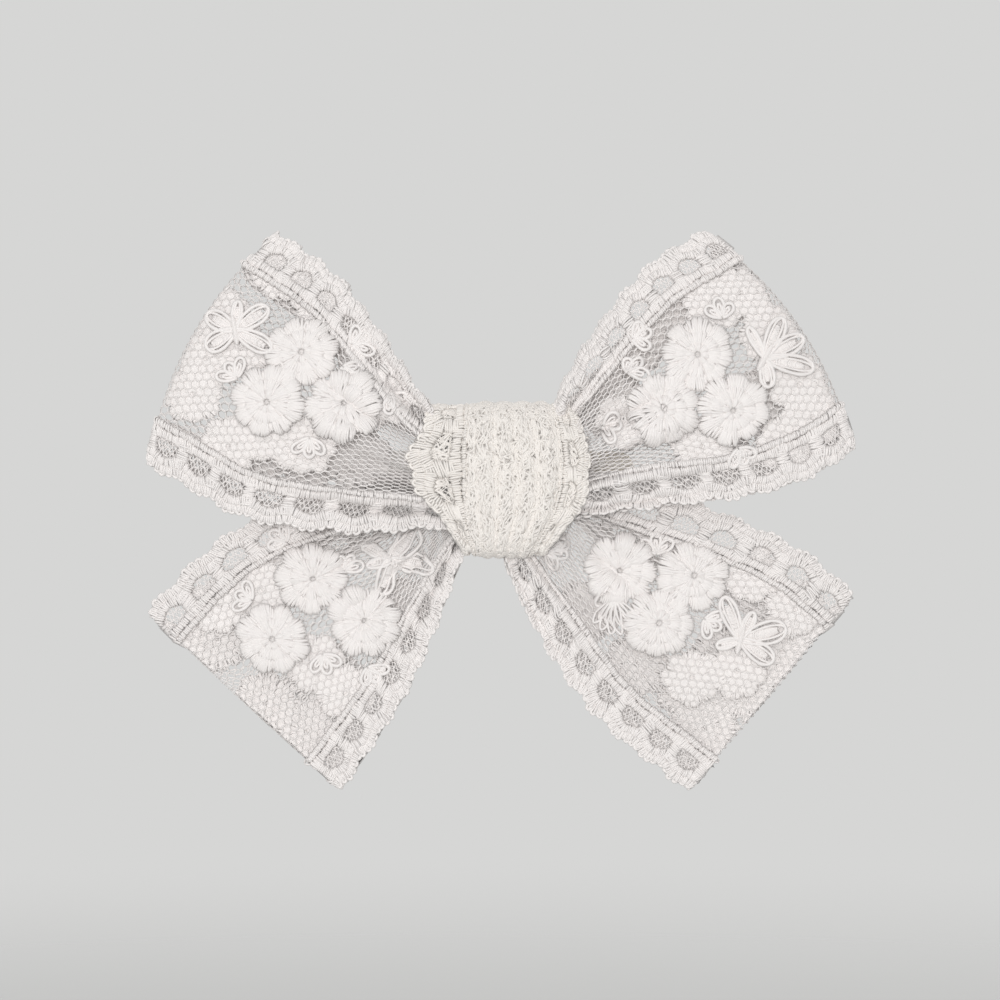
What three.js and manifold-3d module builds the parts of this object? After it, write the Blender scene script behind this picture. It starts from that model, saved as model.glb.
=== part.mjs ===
// Hair bow of white embroidered net lace, sewn to a sprung alligator clip.
// Millimetres. X runs along the bow, Z is up and the front faces -Y.
// The origin is the middle of the knot in X and Z, on the plane where the clip's two jaws meet.

import * as THREE from 'three';
import { mergeVertices } from 'three/addons/utils/BufferGeometryUtils.js';
import Module from 'manifold-3d';

const wasm = await Module();
wasm.setup();

// ---------------------------------------------------------------- driving dimensions

const CLEARANCE = 0.3; // left between pieces that touch
const TRIM_THICKNESS = 0.5; // net, borders and their stitches together
const STITCH_LIFT = 0.85; // a motif's back, off the trim's inner face: just clear of the net
const STITCH_HEIGHT = 0.9; // how far a motif's middle stands up from its back
const STITCH_RIM = 0.7; // the rim's height, as a share of the middle's

// Clip, measured in depth from the plane where the jaws meet
const STEEL = 0.6;
const LINING = 0.6; // grosgrain between the jaws
const ARM_INNER = LINING + 1.5 * CLEARANCE;
const ARM_OUTER = ARM_INNER + STEEL;
const TIP_X = -24;
const LEVER_X = 21;
const CORNER = 3; // rounding of the arms' ends, seen from behind
const UPPER_WIDTH = 9;
const LOWER_WIDTH = UPPER_WIDTH - 2 * (STEEL + CLEARANCE);
const PIN = { x: 8, y: 1.5, radius: 0.8, headRadius: 1.3, headHeight: 0.4 };
const PIN_HOLE = PIN.radius + CLEARANCE;
const EAR = { reach: 1.7, upperHalfWidth: 2.4, lowerHalfWidth: 2, foot: 1, overlap: 0.3 };
const TEETH = { count: 8, pitch: 1.8, fromTip: 3.4, peakY: 0.5, valleyY: 0.9, overlap: 0.2 };
const COIL = { inner: 1.2, outer: 2, length: 4.8 };
const WIRE = COIL.outer - COIL.inner;
const HUMP_Y = PIN.y + COIL.outer + 0.4; // the lower arm's hump over the coil
const UPPER_LEVER = { bendX: PIN.x + 4, rise: 2 };
const LOWER_LEVER = { rampX: PIN.x - 6, humpX: PIN.x - 2.6, bendX: PIN.x + 2, rise: 1.8 };

// Stack behind the knot
const RIBBON = { thickness: 0.5, width: 8.4, endX: 9, foldX: PIN.x - 5 };
const RIBBON_BACK = ARM_OUTER + CLEARANCE;
const RIBBON_OUTER = RIBBON_BACK + RIBBON.thickness;
const LINER = { width: 5.2, tipX: TIP_X + 0.4, endX: LOWER_LEVER.rampX };
const FELT = { thickness: 0.8, halfLength: 10, halfHeight: 6.5, x: -0.5 };
const FELT_BACK = RIBBON_OUTER + CLEARANCE;
const KNOT_BACK = FELT_BACK + FELT.thickness + CLEARANCE;

// Knot: a flattened band round the pinched strips
const KNOT = { halfHeight: 12, halfDepth: 5.8, wall: 1.2, squareness: 4 };
const KNOT_TOP = { left: -10.5, right: 8.6 };
const KNOT_MIDDLE = { left: -10.5, right: 12.5, z: 1.5 };
const KNOT_FOOT = { left: -5.2, right: 5.4 };
const KNOT_Y = -(KNOT_BACK + KNOT.halfDepth);
const BINDING = { halfLength: 1.2, halfHeight: 9.3, halfDepth: 3.7, thickness: 0.4 }; // the turns of thread

// Pinch inside the knot: each ring of trim is two layers, the loops' in front of the tails'
const RING_SPACING = 1.55;
const LAYER_HALF_GAP = 0.5;
const PLEATS = 3;
const PLEAT_DEPTH = 0.5;

// ---------------------------------------------------------------- materials

const lace = new THREE.MeshStandardMaterial({ color: 0xf1efeb, roughness: 0.85, side: THREE.DoubleSide });
const creamLace = new THREE.MeshStandardMaterial({ color: 0xf0ece2, roughness: 0.85 });
const thread = new THREE.MeshStandardMaterial({ color: 0xf5f3ee, roughness: 0.7 });
const felt = new THREE.MeshStandardMaterial({ color: 0xf2f0ec, roughness: 0.95 });
const grosgrain = new THREE.MeshStandardMaterial({ color: 0xf0efec, roughness: 0.75 });
const nickel = new THREE.MeshStandardMaterial({ color: 0xc9c7c2, roughness: 0.3, metalness: 1 });

// ---------------------------------------------------------------- helpers

const bow = new THREE.Group();

function addMesh(name, geometry, material) {
  const mesh = new THREE.Mesh(geometry, material);
  mesh.name = name;
  bow.add(mesh);
  return mesh;
}

function geometryFrom(points, triangles) {
  const geometry = new THREE.BufferGeometry();
  geometry.setAttribute('position', new THREE.Float32BufferAttribute(points.flat(), 3));
  geometry.setIndex(triangles.flat());
  geometry.computeVertexNormals();
  return geometry;
}

function toSolid(geometry) {
  const bare = geometry.clone();
  bare.deleteAttribute('normal');
  bare.deleteAttribute('uv');
  const welded = mergeVertices(bare, 1e-4);
  const vertProperties = new Float32Array(welded.attributes.position.array);
  const triVerts = new Uint32Array(welded.index.array);
  return new wasm.Manifold(new wasm.Mesh({ numProp: 3, vertProperties, triVerts }));
}

function fromSolid(solid) {
  const mesh = solid.getMesh();
  const geometry = new THREE.BufferGeometry();
  geometry.setAttribute('position', new THREE.BufferAttribute(mesh.vertProperties, 3));
  geometry.setIndex(new THREE.BufferAttribute(mesh.triVerts, 1));
  geometry.computeVertexNormals();
  return geometry;
}

function smoothstep(from, to, value) {
  const t = THREE.MathUtils.clamp((value - from) / (to - from), 0, 1);
  return t * t * (3 - 2 * t);
}

// A plate bent along a line in X and Y, as wide as asked in Z
function bentPlate(line, thickness, width) {
  const offset = line.map(([x, y]) => [x, y + thickness]);
  const outline = [...line, ...offset.reverse()].map(([x, y]) => new THREE.Vector2(x, y));
  const plate = new THREE.ExtrudeGeometry(new THREE.Shape(outline), { depth: width, bevelEnabled: false });
  return plate.translate(0, 0, -width / 2);
}

// A flat piece cut to an outline in X and Y, between two heights in Z
function cutPlate(outline, low, high) {
  const settings = { depth: high - low, bevelEnabled: false, curveSegments: 8 };
  return new THREE.ExtrudeGeometry(outline, settings).translate(0, 0, low);
}

function roundBar(radius, length, sides) {
  return new THREE.CylinderGeometry(radius, radius, length, sides).rotateX(Math.PI / 2);
}

// ---------------------------------------------------------------- trim strips

// Each lobe is drawn in X and Z by its two edges, from the middle of the knot to the fold.
const LOOP = { frontDepth: 5, backDepth: 2.2, edgeDepth: 0.4, roundness: 0.75, foldBulge: 4, foldY: -11 };
const TAIL = { frontDepth: 1.6, backDepth: 1.6, edgeDepth: 0.6, roundness: 1, foldBulge: 0.4, foldY: -6 };
const LOBES = {
  left_loop: {
    ...LOOP, pinchY: KNOT_Y - RING_SPACING,
    lower: [[0, -7.5], [-9, -7.6], [-24, -8.2], [-39.3, -6], [-48.1, -1.3], [-54, 1.8]],
    upper: [[0, 8], [-10, 8.2], [-12.8, 11.6], [-17.9, 22.3], [-25.2, 31.6], [-33.8, 38]],
  },
  right_loop: {
    ...LOOP, pinchY: KNOT_Y - RING_SPACING,
    lower: [[0, -7.5], [11, -6], [24, -4.4], [38.4, -2.6], [48.6, 0.7], [54, 4.4]],
    upper: [[0, 8], [9.4, 8.3], [10.9, 12.4], [12.2, 19.4], [16.4, 26.2], [23.1, 33.6], [30.6, 38.2]],
  },
  left_tail: {
    ...TAIL, pinchY: KNOT_Y + RING_SPACING,
    lower: [[0, -8], [-4.8, -8.3], [-7, -12], [-8.8, -20.2], [-13.9, -32.2], [-24.4, -48.2]],
    upper: [[0, 5], [-12, 2.4], [-26, -1.6], [-39.4, -6.4], [-47, -11.8], [-55, -20]],
  },
  right_tail: {
    ...TAIL, pinchY: KNOT_Y + RING_SPACING,
    lower: [[0, -8], [5, -8.2], [7.2, -12.2], [6, -18], [8, -27], [14, -36.2], [28.6, -48.4]],
    upper: [[0, 5], [12, 2.4], [23, -0.6], [36.2, -5.6], [47.5, -11.1], [54.8, -17.3]],
  },
};

function edgeCurve(points) {
  const places = points.map(([x, z]) => new THREE.Vector3(x, 0, z));
  const curve = new THREE.CatmullRomCurve3(places, false, 'centripetal');
  curve.arcLengthDivisions = 400;
  return curve;
}

for (const lobe of Object.values(LOBES)) {
  lobe.lowerCurve = edgeCurve(lobe.lower);
  lobe.upperCurve = edgeCurve(lobe.upper);
  const corner = lobe.lowerCurve.getPointAt(1);
  const chord = lobe.upperCurve.getPointAt(1).sub(corner).normalize();
  const outwardX = Math.abs(chord.z) * Math.sign(corner.x);
  const outwardZ = -chord.x * Math.sign(corner.x * chord.z);
  lobe.outward = new THREE.Vector3(outwardX, 0, outwardZ);
}

// A point of the trim's inner face: turn runs 0 to 1 from the knot's middle along the front layer,
// round the fold at 0.5 and back behind; across runs 0 to 1 from the lower edge to the upper one.
function trimPoint(lobe, turn, across) {
  const along = Math.sin(Math.PI * turn);
  const facing = Math.cos(Math.PI * turn);
  const point = lobe.lowerCurve.getPointAt(along).lerp(lobe.upperCurve.getPointAt(along), across);
  point.addScaledVector(lobe.outward, lobe.foldBulge * 4 * across * (1 - across) * along ** 3);
  const opened = smoothstep(0.1, 0.5, along);
  const crown = lobe.edgeDepth + (1 - lobe.edgeDepth) * Math.sin(Math.PI * across);
  const depth = facing > 0 ? lobe.frontDepth : lobe.backDepth;
  const spread = LAYER_HALF_GAP * (1 - opened) + depth * Math.abs(facing) ** lobe.roundness * opened * crown;
  point.y = THREE.MathUtils.lerp(lobe.pinchY, lobe.foldY, smoothstep(0.05, 0.35, along));
  point.y -= Math.sign(facing) * spread;
  if (facing > 0) {
    const nearKnot = 1 - smoothstep(0.15, 0.6, along);
    const belowEdge = 1 - smoothstep(0.6, 0.95, across) * smoothstep(0, 0.1, along);
    point.y += PLEAT_DEPTH * nearKnot * belowEdge * Math.cos(2 * Math.PI * PLEATS * across);
  }
  return point;
}

// The direction off the trim, away from the inside of the loop
function trimNormal(lobe, turn, across) {
  const step = 1e-3;
  const ahead = trimPoint(lobe, Math.min(turn + step, 1), across);
  const behind = trimPoint(lobe, Math.max(turn - step, 0), across);
  const alongStrip = ahead.sub(behind);
  const acrossStrip = trimPoint(lobe, turn, across + step).sub(trimPoint(lobe, turn, across - step));
  const normal = alongStrip.cross(acrossStrip).normalize();
  return normal.multiplyScalar(Math.sign(lobe.outward.x));
}

// A ring of trim: the left lobe out and back, then the right lobe back and out
function trimRing(left, right) {
  const stepsPerLobe = 22;
  const stepsAcross = 12;
  const stations = [];
  for (let i = 0; i < stepsPerLobe; i += 1) stations.push([left, i / stepsPerLobe]);
  for (let i = 0; i < stepsPerLobe; i += 1) stations.push([right, 1 - i / stepsPerLobe]);
  const points = [];
  for (const [lobe, turn] of stations) {
    for (let j = 0; j <= stepsAcross; j += 1) {
      const across = j / stepsAcross;
      const inner = trimPoint(lobe, turn, across);
      const atKnot = turn === 0 || turn === 1;
      const normal = atKnot ? new THREE.Vector3(0, turn === 0 ? -1 : 1, 0) : trimNormal(lobe, turn, across);
      const outer = inner.clone().addScaledVector(normal, TRIM_THICKNESS);
      points.push(inner.toArray(), outer.toArray());
    }
  }
  const rows = stepsAcross + 1;
  const at = (i, j, layer) => 2 * ((i % stations.length) * rows + j) + layer;
  const triangles = [];
  const quad = (a, b, c, d) => triangles.push([a, b, c], [a, c, d]);
  for (let i = 0; i < stations.length; i += 1) {
    for (let j = 0; j < stepsAcross; j += 1) {
      quad(at(i, j, 0), at(i + 1, j, 0), at(i + 1, j + 1, 0), at(i, j + 1, 0));
      quad(at(i, j, 1), at(i, j + 1, 1), at(i + 1, j + 1, 1), at(i + 1, j, 1));
    }
    quad(at(i, 0, 0), at(i, 0, 1), at(i + 1, 0, 1), at(i + 1, 0, 0));
    quad(at(i, stepsAcross, 0), at(i + 1, stepsAcross, 0), at(i + 1, stepsAcross, 1), at(i, stepsAcross, 1));
  }
  return geometryFrom(points, triangles);
}

addMesh('upper_loops', trimRing(LOBES.left_loop, LOBES.right_loop), lace);
addMesh('lower_tails', trimRing(LOBES.left_tail, LOBES.right_tail), lace);

// ---------------------------------------------------------------- raised embroidery

// Finds where the front layer of a lobe passes a place given in X and Z
function frontPlace(lobe, x, z) {
  const step = 1e-4;
  let turn = 0.25;
  let across = 0.5;
  for (let i = 0; i < 30; i += 1) {
    const here = trimPoint(lobe, turn, across);
    const du = trimPoint(lobe, turn + step, across).sub(here).divideScalar(step);
    const dv = trimPoint(lobe, turn, across + step).sub(here).divideScalar(step);
    const determinant = du.x * dv.z - du.z * dv.x;
    const missX = x - here.x;
    const missZ = z - here.z;
    turn += (missX * dv.z - missZ * dv.x) / determinant;
    across += (du.x * missZ - du.z * missX) / determinant;
    turn = THREE.MathUtils.clamp(turn, 0.02, 0.49);
    across = THREE.MathUtils.clamp(across, 0.01, 0.99);
  }
  return [turn, across];
}

// A thin raised motif on the front layer, its outline given by a radius for each angle
function motif(lobe, centre, sides, radiusAt) {
  const places = [centre];
  for (let i = 0; i < sides; i += 1) {
    const angle = (2 * Math.PI * i) / sides;
    const radius = radiusAt(angle);
    places.push([centre[0] + radius * Math.cos(angle), centre[1] + radius * Math.sin(angle)]);
  }
  const points = [];
  for (const [x, z] of places) {
    const [turn, across] = frontPlace(lobe, x, z);
    const foot = trimPoint(lobe, turn, across);
    const normal = trimNormal(lobe, turn, across);
    const share = points.length > 0 ? STITCH_RIM : 1;
    points.push(foot.clone().addScaledVector(normal, STITCH_LIFT).toArray());
    points.push(foot.clone().addScaledVector(normal, STITCH_LIFT + STITCH_HEIGHT * share).toArray());
  }
  const triangles = [];
  for (let i = 0; i < sides; i += 1) {
    const a = 2 * (i + 1);
    const b = 2 * (((i + 1) % sides) + 1);
    triangles.push([0, b, a], [1, a + 1, b + 1], [a, b + 1, a + 1], [a, b, b + 1]);
  }
  return geometryFrom(points, triangles);
}

const DAISY = { radius: 4.6, petals: 12, notch: 0.35 };
const DAISIES = {
  left_loop: [[-30, 19.6], [-24, 11], [-35.6, 11.6]],
  right_loop: [[29.7, 19.2], [24.3, 10.2], [34.9, 10.3]],
  left_tail: [[-29.1, -15], [-21.1, -21.7], [-35, -24.5]],
  right_tail: [[18.5, -13.7], [29.8, -14.6], [24.4, -22.4]],
};
const BUTTERFLIES = {
  left_loop: [-40, 22.6],
  right_loop: [41.8, 20],
  left_tail: [-16.2, -12.3],
  right_tail: [39.6, -22.3],
};
const BELL_FLOWER = [16.5, -22.8];
const BUTTERFLY = { waist: 2.2, wing: 2.3, sides: 16 };
const BELL = { radius: 2.4, flare: 0.3, sides: 12 };

const daisyRadius = (angle) => DAISY.radius - DAISY.notch * (0.5 - 0.5 * Math.cos(DAISY.petals * angle));
const butterflyRadius = (angle) => BUTTERFLY.waist + BUTTERFLY.wing * Math.abs(Math.sin(2 * angle));
const bellRadius = (angle) => BELL.radius + BELL.flare * Math.cos(2 * angle);

for (const [name, centres] of Object.entries(DAISIES)) {
  centres.forEach((centre, i) => {
    const shape = motif(LOBES[name], centre, 2 * DAISY.petals, daisyRadius);
    addMesh(`daisy_${name}_${i + 1}`, shape, name.endsWith('tail') ? lace : creamLace);
  });
}
for (const [name, centre] of Object.entries(BUTTERFLIES)) {
  addMesh(`butterfly_${name}`, motif(LOBES[name], centre, BUTTERFLY.sides, butterflyRadius), thread);
}
addMesh('bell_flower_right_tail', motif(LOBES.right_tail, BELL_FLOWER, BELL.sides, bellRadius), thread);

// ---------------------------------------------------------------- knot

// A flattened ring round X, a rounded rectangle in section; extentAt gives its left and right at a height
function band(extentAt, stations, inner, outer, squareness, sides) {
  const points = [];
  for (let k = 0; k <= stations; k += 1) {
    for (let i = 0; i < sides; i += 1) {
      const angle = (2 * Math.PI * i) / sides;
      const c = Math.cos(angle);
      const s = Math.sin(angle);
      const reach = (Math.abs(c) ** squareness + Math.abs(s) ** squareness) ** (-1 / squareness);
      const extent = extentAt(outer.halfHeight * s * reach);
      const x = THREE.MathUtils.lerp(extent.left, extent.right, k / stations);
      for (const size of [inner, outer]) {
        points.push([x, KNOT_Y + size.halfDepth * c * reach, size.halfHeight * s * reach]);
      }
    }
  }
  const at = (station, i, layer) => 2 * (station * sides + (i % sides)) + layer;
  const triangles = [];
  const quad = (a, b, c, d) => triangles.push([a, b, c], [a, c, d]);
  for (let i = 0; i < sides; i += 1) {
    for (let k = 0; k < stations; k += 1) {
      quad(at(k, i, 0), at(k + 1, i, 0), at(k + 1, i + 1, 0), at(k, i + 1, 0));
      quad(at(k, i, 1), at(k, i + 1, 1), at(k + 1, i + 1, 1), at(k + 1, i, 1));
    }
    quad(at(0, i, 0), at(0, i + 1, 0), at(0, i + 1, 1), at(0, i, 1));
    quad(at(stations, i, 0), at(stations, i, 1), at(stations, i + 1, 1), at(stations, i + 1, 0));
  }
  return geometryFrom(points, triangles);
}

// The knot is widest at its middle, and narrows towards its foot, where the tails flare out from under it
function knotExtent(z) {
  const above = z > KNOT_MIDDLE.z;
  const end = above ? KNOT_TOP : KNOT_FOOT;
  const endZ = above ? KNOT.halfHeight : -KNOT.halfHeight;
  const outward = smoothstep(KNOT_MIDDLE.z, endZ, z);
  return {
    left: THREE.MathUtils.lerp(KNOT_MIDDLE.left, end.left, outward),
    right: THREE.MathUtils.lerp(KNOT_MIDDLE.right, end.right, outward),
  };
}

const knotInner = { halfHeight: KNOT.halfHeight - KNOT.wall, halfDepth: KNOT.halfDepth - KNOT.wall };
addMesh('knot_wrap', band(knotExtent, 3, knotInner, KNOT, KNOT.squareness, 32), creamLace);

const bindingExtent = () => ({ left: -BINDING.halfLength, right: BINDING.halfLength });
const bindingOuter = {
  halfHeight: BINDING.halfHeight + BINDING.thickness,
  halfDepth: BINDING.halfDepth + BINDING.thickness,
};
addMesh('gathering_thread', band(bindingExtent, 1, BINDING, bindingOuter, 6, 32), thread);

// ---------------------------------------------------------------- backing and ribbon

const feltOutline = new THREE.Shape();
feltOutline.absellipse(0, 0, FELT.halfLength, FELT.halfHeight, 0, 2 * Math.PI);
const feltSettings = { depth: FELT.thickness, bevelEnabled: false, curveSegments: 10 };
const feltPatch = new THREE.ExtrudeGeometry(feltOutline, feltSettings);
feltPatch.rotateX(Math.PI / 2).translate(FELT.x, -FELT_BACK, 0);
addMesh('felt_patch', feltPatch, felt);

// The ribbon runs along the bow side of the arm, round its tip and back along the jaw side
const ribbonTip = TIP_X - CLEARANCE;
const ribbonFold = ribbonTip - LINING;
const liningTop = -ARM_INNER + CLEARANCE;
const liningFoot = -0.5 * CLEARANCE;
const ribbonLine = [
  [RIBBON.endX, -RIBBON_BACK], [ribbonTip, -RIBBON_BACK], [ribbonTip, liningTop], [RIBBON.foldX, liningTop],
  [RIBBON.foldX, liningFoot], [ribbonFold, liningFoot], [ribbonFold, -RIBBON_OUTER],
  [RIBBON.endX, -RIBBON_OUTER],
];
const ribbonOutline = new THREE.Shape(ribbonLine.map(([x, y]) => new THREE.Vector2(x, y)));
addMesh('clip_ribbon', cutPlate(ribbonOutline, -RIBBON.width / 2, RIBBON.width / 2), grosgrain);

const linerFoot = 0.5 * CLEARANCE;
const linerTop = linerFoot + LINING;
const linerLine = [
  [LINER.tipX, linerFoot], [LINER.endX, linerFoot], [LINER.endX, linerTop], [LINER.tipX, linerTop],
];
const linerOutline = new THREE.Shape(linerLine.map(([x, y]) => new THREE.Vector2(x, y)));
addMesh('lower_liner', cutPlate(linerOutline, -LINER.width / 2, LINER.width / 2), grosgrain);

// ---------------------------------------------------------------- steel clip

// Seen from behind, each arm has a rounded tip and a rounded lever end
function armOutline(width) {
  const half = width / 2;
  const deep = 30; // deeper than the whole clip, so that it trims the arm's outline only
  const outline = new THREE.Shape();
  outline.moveTo(TIP_X + CORNER, -half);
  outline.lineTo(LEVER_X - CORNER, -half);
  outline.quadraticCurveTo(LEVER_X, -half, LEVER_X, 0);
  outline.quadraticCurveTo(LEVER_X, half, LEVER_X - CORNER, half);
  outline.lineTo(TIP_X + CORNER, half);
  outline.quadraticCurveTo(TIP_X, half, TIP_X, 0);
  outline.quadraticCurveTo(TIP_X, -half, TIP_X + CORNER, -half);
  const blank = new THREE.ExtrudeGeometry(outline, { depth: deep, bevelEnabled: false, curveSegments: 6 });
  return blank.rotateX(Math.PI / 2).translate(0, deep / 2, 0);
}

// An ear: a rounded tab from the arm to just past the pin
function earOutline(root, halfWidth) {
  const outline = new THREE.Shape();
  const end = PIN.y + Math.sign(PIN.y - root) * EAR.reach;
  outline.moveTo(PIN.x - halfWidth - EAR.foot, root);
  outline.lineTo(PIN.x + halfWidth + EAR.foot, root);
  outline.lineTo(PIN.x + halfWidth, PIN.y);
  outline.quadraticCurveTo(PIN.x + halfWidth, end, PIN.x, end);
  outline.quadraticCurveTo(PIN.x - halfWidth, end, PIN.x - halfWidth, PIN.y);
  return outline;
}

// One side of the lower arm, turned towards the other jaw and cut into teeth
function toothedFlange(low, high) {
  const start = TIP_X + TEETH.fromTip;
  const root = ARM_INNER + TEETH.overlap;
  const outline = new THREE.Shape();
  outline.moveTo(start, root);
  for (let i = 0; i < TEETH.count; i += 1) {
    outline.lineTo(start + (i + 0.5) * TEETH.pitch, TEETH.peakY);
    outline.lineTo(start + (i + 1) * TEETH.pitch, TEETH.valleyY);
  }
  outline.lineTo(start + TEETH.count * TEETH.pitch, root);
  return cutPlate(outline, low, high);
}

function pierced(solid) {
  const longerThanPin = 2 * UPPER_WIDTH;
  return solid.subtract(toSolid(roundBar(PIN_HOLE, longerThanPin, 16).translate(PIN.x, PIN.y, 0)));
}

// The two side walls of an arm, each from its lower to its upper face in Z
const sideWalls = (width) => [[-width / 2, STEEL - width / 2], [width / 2 - STEEL, width / 2]];

const upperLine = [
  [TIP_X - 1, -ARM_OUTER], [UPPER_LEVER.bendX, -ARM_OUTER], [LEVER_X + 1, -ARM_OUTER - UPPER_LEVER.rise],
];
let upperArm = toSolid(bentPlate(upperLine, STEEL, UPPER_WIDTH)).intersect(toSolid(armOutline(UPPER_WIDTH)));
for (const [low, high] of sideWalls(UPPER_WIDTH)) {
  const ear = cutPlate(earOutline(-ARM_INNER - EAR.overlap, EAR.upperHalfWidth), low, high);
  upperArm = upperArm.add(toSolid(ear));
}
addMesh('clip_upper_arm', fromSolid(pierced(upperArm)), nickel);

const lowerLine = [
  [TIP_X - 1, ARM_INNER], [LOWER_LEVER.rampX, ARM_INNER], [LOWER_LEVER.humpX, HUMP_Y],
  [LOWER_LEVER.bendX, HUMP_Y], [LEVER_X + 1, HUMP_Y + LOWER_LEVER.rise],
];
let lowerArm = toSolid(bentPlate(lowerLine, STEEL, LOWER_WIDTH)).intersect(toSolid(armOutline(LOWER_WIDTH)));
for (const [low, high] of sideWalls(LOWER_WIDTH)) {
  const ear = cutPlate(earOutline(HUMP_Y + EAR.overlap, EAR.lowerHalfWidth), low, high);
  lowerArm = lowerArm.add(toSolid(ear)).add(toSolid(toothedFlange(low, high)));
}
addMesh('clip_lower_arm', fromSolid(pierced(lowerArm)), nickel);

const headFace = UPPER_WIDTH / 2 + CLEARANCE;
const pinProfile = [
  [0, -headFace - PIN.headHeight], [PIN.headRadius, -headFace - PIN.headHeight], [PIN.headRadius, -headFace],
  [PIN.radius, -headFace], [PIN.radius, headFace], [PIN.headRadius, headFace],
  [PIN.headRadius, headFace + PIN.headHeight], [0, headFace + PIN.headHeight],
].map(([r, h]) => new THREE.Vector2(r, h));
const pin = new THREE.LatheGeometry(pinProfile, 16).rotateX(Math.PI / 2).translate(PIN.x, PIN.y, 0);
addMesh('hinge_pin', fromSolid(toSolid(pin)), nickel);

const coilProfile = [
  [COIL.inner, -COIL.length / 2], [COIL.outer, -COIL.length / 2], [COIL.outer, COIL.length / 2],
  [COIL.inner, COIL.length / 2], [COIL.inner, -COIL.length / 2],
].map(([r, h]) => new THREE.Vector2(r, h));
const coil = new THREE.LatheGeometry(coilProfile, 20).rotateX(Math.PI / 2).translate(PIN.x, PIN.y, 0);

// Each leg leaves the coil on one side and presses its arm away from the other
const legShift = (COIL.length - WIRE) / 2 - 0.01;
const upperLegLine = [[PIN.x, PIN.y - COIL.outer + 0.15], [PIN.x + 9, -1.25]];
const upperLeg = bentPlate(upperLegLine, WIRE, WIRE).translate(0, 0, legShift);
addMesh('spring_coil', fromSolid(toSolid(coil).add(toSolid(upperLeg))), nickel);

const lowerLegLine = [[PIN.x + 2.3, 2.75], [PIN.x + 9.5, HUMP_Y + 0.05]];
const lowerLeg = bentPlate(lowerLegLine, WIRE, WIRE).translate(0, 0, -legShift);
addMesh('spring_lower_leg', lowerLeg, nickel);

export default bow;
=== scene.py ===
import math

import bpy
import numpy as np
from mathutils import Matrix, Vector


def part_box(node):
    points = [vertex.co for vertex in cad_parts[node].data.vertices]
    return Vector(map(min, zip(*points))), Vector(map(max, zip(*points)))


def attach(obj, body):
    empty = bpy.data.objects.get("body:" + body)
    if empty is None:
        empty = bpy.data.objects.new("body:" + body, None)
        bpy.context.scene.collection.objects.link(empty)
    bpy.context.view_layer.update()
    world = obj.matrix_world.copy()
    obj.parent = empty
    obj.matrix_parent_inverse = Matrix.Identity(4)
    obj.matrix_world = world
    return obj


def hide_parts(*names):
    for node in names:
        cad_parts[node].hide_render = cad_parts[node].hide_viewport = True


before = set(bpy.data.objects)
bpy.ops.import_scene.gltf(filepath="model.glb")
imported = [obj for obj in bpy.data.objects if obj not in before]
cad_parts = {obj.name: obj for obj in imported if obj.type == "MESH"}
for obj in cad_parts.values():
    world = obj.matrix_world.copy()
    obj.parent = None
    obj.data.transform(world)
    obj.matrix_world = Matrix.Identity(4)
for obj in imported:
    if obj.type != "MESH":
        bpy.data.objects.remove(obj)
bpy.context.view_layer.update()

# ---- Camera ---------------------------------------------------------------------------------
# The bow stands square to the lens, a little above the middle of the view. A long lens keeps
# its lobes in true proportion.

MM = 0.001
LENS_MM = 100
SENSOR_MM = 36
VIEW_WIDTH = 154.0
AIM = np.array([-0.15, -8.0, -3.1])

camera_data = bpy.data.cameras.new("camera")
camera_data.lens = LENS_MM
camera_data.sensor_width = SENSOR_MM
camera_data.clip_start = 0.01
camera = bpy.data.objects.new("camera", camera_data)
bpy.context.scene.collection.objects.link(camera)
lens_distance = VIEW_WIDTH * LENS_MM / SENSOR_MM
camera.location = (AIM - [0, lens_distance, 0]) * MM
camera.rotation_euler = (math.radians(90), 0, 0)
bpy.context.scene.camera = camera


# ---- Studio ---------------------------------------------------------------------------------
# A pale floor well below the bow and a pale surround, brightest behind it. A lamp beside the
# lens lights the inner layers, a high soft one gives shape, and one behind lights the edges.

def hex_colour(text):
    """An sRGB hex colour as linear red, green, blue and full alpha."""
    parts = [int(text[i:i + 2], 16) / 255 for i in (1, 3, 5)]
    linear = [c / 12.92 if c <= 0.04045 else ((c + 0.055) / 1.055) ** 2.4 for c in parts]
    return (*linear, 1.0)


def add_node(tree, kind, settings=None, **inputs):
    """A node with its settings, and for each input either a value or the socket that feeds it."""
    node = tree.nodes.new(kind)
    for name, value in (settings or {}).items():
        setattr(node, name, value)
    for name, value in inputs.items():
        by_number = name[1:].isdigit()
        socket = node.inputs[int(name[1:]) if by_number else name.replace("_", " ")]
        if isinstance(value, bpy.types.NodeSocket):
            tree.links.new(value, socket)
        else:
            socket.default_value = value
    return node


def new_material(name):
    """An empty node material and its tree."""
    material = bpy.data.materials.new(name)
    material.use_nodes = True
    material.node_tree.nodes.clear()
    return material, material.node_tree


SURROUND = hex_colour("#d6d6d5")
scene = bpy.context.scene
scene.view_settings.view_transform = "Standard"
world = bpy.data.worlds.new("surround")
world.use_nodes = True
backdrop = world.node_tree.nodes["Background"]
backdrop.inputs["Color"].default_value = SURROUND

# The surround is dimmer in front of the bow, so that the folds keep some shade.
direction = add_node(world.node_tree, "ShaderNodeTexCoord")
split = add_node(world.node_tree, "ShaderNodeSeparateXYZ", Vector=direction.outputs["Generated"])
towards_back = add_node(
    world.node_tree, "ShaderNodeMapRange", {"interpolation_type": "SMOOTHSTEP"},
    Value=split.outputs["Y"], From_Min=-0.3, From_Max=0.6, To_Min=0.6, To_Max=1.0,
)
world.node_tree.links.new(towards_back.outputs[0], backdrop.inputs["Strength"])
scene.world = world

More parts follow.
